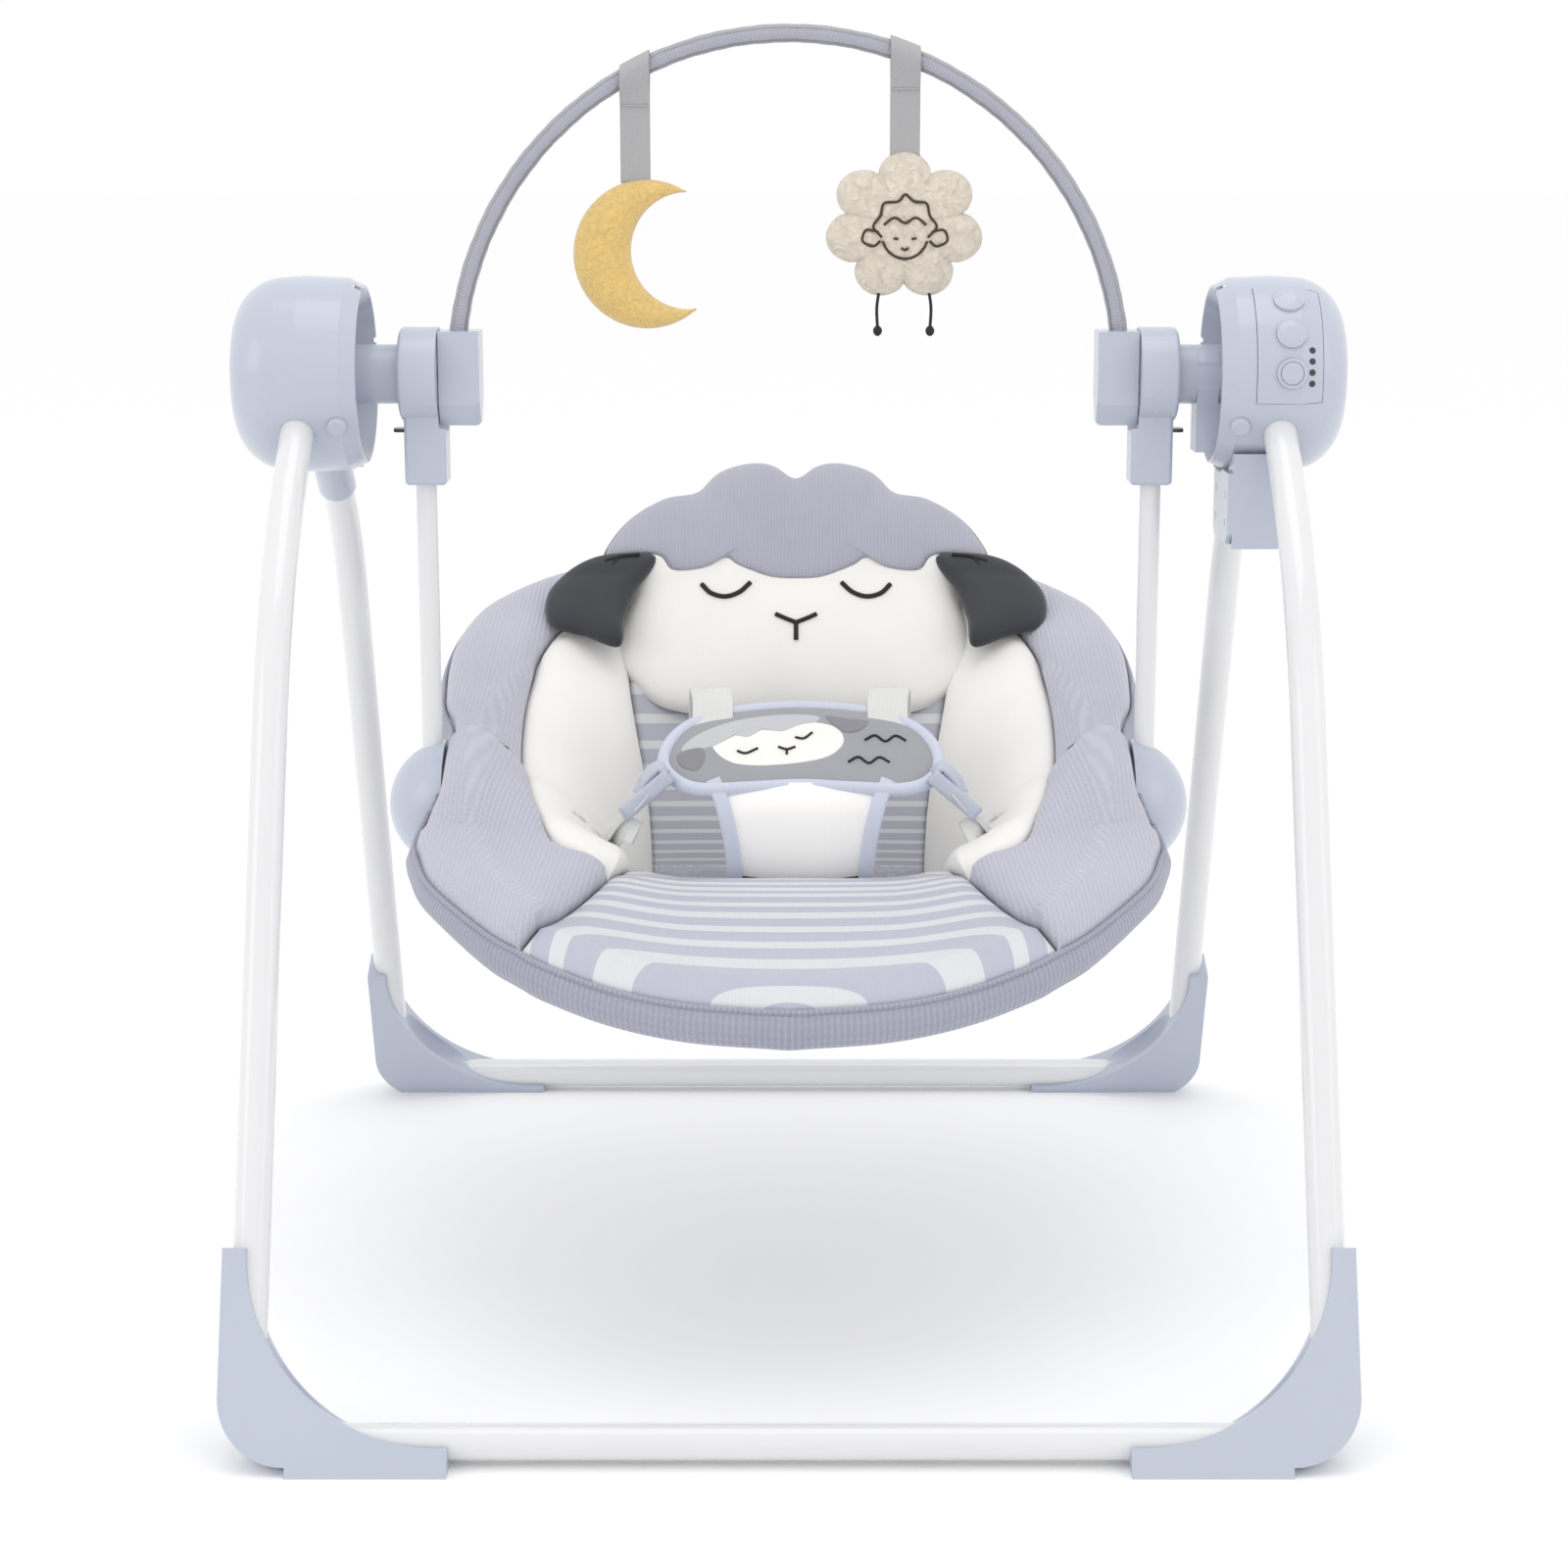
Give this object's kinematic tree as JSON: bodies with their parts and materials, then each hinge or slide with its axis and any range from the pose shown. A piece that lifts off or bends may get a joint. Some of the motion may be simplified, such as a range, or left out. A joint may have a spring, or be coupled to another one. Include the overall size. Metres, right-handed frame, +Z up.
{
  "type": "baby swing",
  "caption": "Powered folding baby swing: white tube frame, blue-grey drive housings, hanging reclining padded seat with harness plate, and a turning toy bar with soft toys",
  "frame": {"origin": "on the floor, under the middle of the frame", "axes": "+X to the control housing, which is on the right of a person facing the swing; -Y is the front, which the child faces; +Z up"},
  "size_m": [0.636, 0.6746, 0.725],
  "materials": {
    "pale_plastic": "moulded ABS, pale blue-grey, semi-gloss",
    "white_tube": "white powder-coated steel tube, gloss",
    "steel": "plain turned steel",
    "bush_plastic": "natural acetal bush",
    "dark_plastic": "dark grey moulded plastic",
    "light_lens": "smoked indicator lens",
    "circuit": "green solder mask",
    "copper": "enamelled copper wire",
    "cell": "plain printed cell jacket",
    "contact": "nickel-plated spring steel",
    "magnet": "nickel-plated magnet",
    "lavender_fabric": "ribbed lavender-grey mesh fabric",
    "striped_fabric": "knit with light and lavender stripes",
    "cream_fabric": "cream velour",
    "strap_web": "grey-white woven ribbon",
    "crotch_fabric": "white padded fabric with pale blue binding",
    "yellow_terry": "mustard yellow terry",
    "cream_sherpa": "cream curly fleece",
    "plate_plastic": "printed insert in a pale rim"
  },
  "bodies": {
    "front_frame": {"batteries": "cell", "battery_box": "pale_plastic", "battery_contacts": "contact", "battery_door": "pale_plastic", "circuit_board": "circuit", "control_panel": "pale_plastic", "drive_coil": "copper", "fold_pins": "steel", "front_floor_tube": "white_tube", "housing_screws": "steel", "indicator_lights": "light_lens", "left_front_foot": "pale_plastic", "left_front_leg": "white_tube", "left_housing_inner": "pale_plastic", "left_housing_outer": "pale_plastic", "right_front_foot": "pale_plastic", "right_front_leg": "white_tube", "right_housing_inner": "pale_plastic", "right_housing_outer": "pale_plastic", "speaker": "dark_plastic", "swing_bearings": "bush_plastic"},
    "rear_frame": {"rear_floor_tube": "white_tube", "right_rear_leg": "white_tube", "left_rear_leg": "white_tube", "right_rear_foot": "pale_plastic", "left_rear_foot": "pale_plastic", "leg_sockets": "pale_plastic"},
    "swing": {"axles": "steel", "drive_crank": "pale_plastic", "drive_magnet": "magnet", "right_swing_hub": "pale_plastic", "left_swing_hub": "pale_plastic", "right_swing_arm": "white_tube", "left_swing_arm": "white_tube", "right_seat_hub": "pale_plastic", "left_seat_hub": "pale_plastic"},
    "seat": {"seat_front_tube": "white_tube", "seat_back_tube": "white_tube", "seat_pivots": "pale_plastic", "seat_sling": "lavender_fabric", "seat_pad": "striped_fabric", "head_pillow": "cream_fabric", "belly_plate": "plate_plastic", "crotch_strap": "crotch_fabric", "waist_straps": "strap_web", "harness_clips": "pale_plastic"},
    "toy_bar": {"left_toy_bar_socket": "pale_plastic", "right_toy_bar_socket": "pale_plastic", "toy_bar_arch": "lavender_fabric"},
    "power_button": {"power_button": "pale_plastic"},
    "music_button": {"music_button": "pale_plastic"},
    "speed_button": {"speed_button": "pale_plastic"},
    "right_fold_button": {"right_fold_button": "pale_plastic"},
    "left_fold_button": {"left_fold_button": "pale_plastic"},
    "right_arm_button": {"right_arm_button": "dark_plastic"},
    "left_arm_button": {"left_arm_button": "dark_plastic"},
    "moon": {"moon_toy": "yellow_terry", "moon_strap": "strap_web"},
    "sheep": {"sheep_toy": "cream_sherpa", "sheep_strap": "strap_web"}
  },
  "joints": [
    {"name": "leg_fold", "type": "hinge", "parent": "front_frame", "child": "rear_frame", "pos_m": [0, 0.028, 0.513], "axis": [1, 0, 0], "range_deg": [-50, 0]},
    {"name": "swing", "type": "hinge", "parent": "front_frame", "child": "swing", "pos_m": [0, 0, 0.529], "axis": [1, 0, 0], "range_deg": [-18, 18]},
    {"name": "seat_recline", "type": "hinge", "parent": "swing", "child": "seat", "pos_m": [0, 0, 0.276], "axis": [1, 0, 0], "range_deg": [-12, 0]},
    {"name": "toy_bar_turn", "type": "hinge", "parent": "swing", "child": "toy_bar", "pos_m": [0, 0, 0.529], "axis": [1, 0, 0], "range_deg": [-75, 35]},
    {"name": "moon_swing", "type": "hinge", "parent": "toy_bar", "child": "moon", "pos_m": [-0.087, 0, 0.69904], "axis": [0.8902, 0, 0.4555], "range_deg": [-30, 30]},
    {"name": "sheep_swing", "type": "hinge", "parent": "toy_bar", "child": "sheep", "pos_m": [0.066, 0, 0.70823], "axis": [0.9384, 0, -0.3456], "range_deg": [-30, 30]},
    {"name": "power_press", "type": "slide", "parent": "front_frame", "child": "power_button", "axis": [0, 0.6293, -0.7771], "range_m": [0, 0.0012], "stiffness_N_per_m": 400},
    {"name": "music_press", "type": "slide", "parent": "front_frame", "child": "music_button", "axis": [0, 0.887, -0.4618], "range_m": [0, 0.0012], "stiffness_N_per_m": 400},
    {"name": "speed_press", "type": "slide", "parent": "front_frame", "child": "speed_button", "axis": [0, 0.9969, -0.0785], "range_m": [0, 0.0012], "stiffness_N_per_m": 400},
    {"name": "right_fold_release", "type": "slide", "parent": "front_frame", "child": "right_fold_button", "axis": [0, 0.887, 0.4618], "range_m": [0, 0.0015], "stiffness_N_per_m": 400},
    {"name": "right_arm_release", "type": "slide", "parent": "swing", "child": "right_arm_button", "axis": [-1, 0, 0], "range_m": [0, 0.002], "stiffness_N_per_m": 400},
    {"name": "left_fold_release", "type": "slide", "parent": "front_frame", "child": "left_fold_button", "axis": [0, 0.887, 0.4618], "range_m": [0, 0.0015], "stiffness_N_per_m": 400},
    {"name": "left_arm_release", "type": "slide", "parent": "swing", "child": "left_arm_button", "axis": [1, 0, 0], "range_m": [0, 0.002], "stiffness_N_per_m": 400}
  ]
}
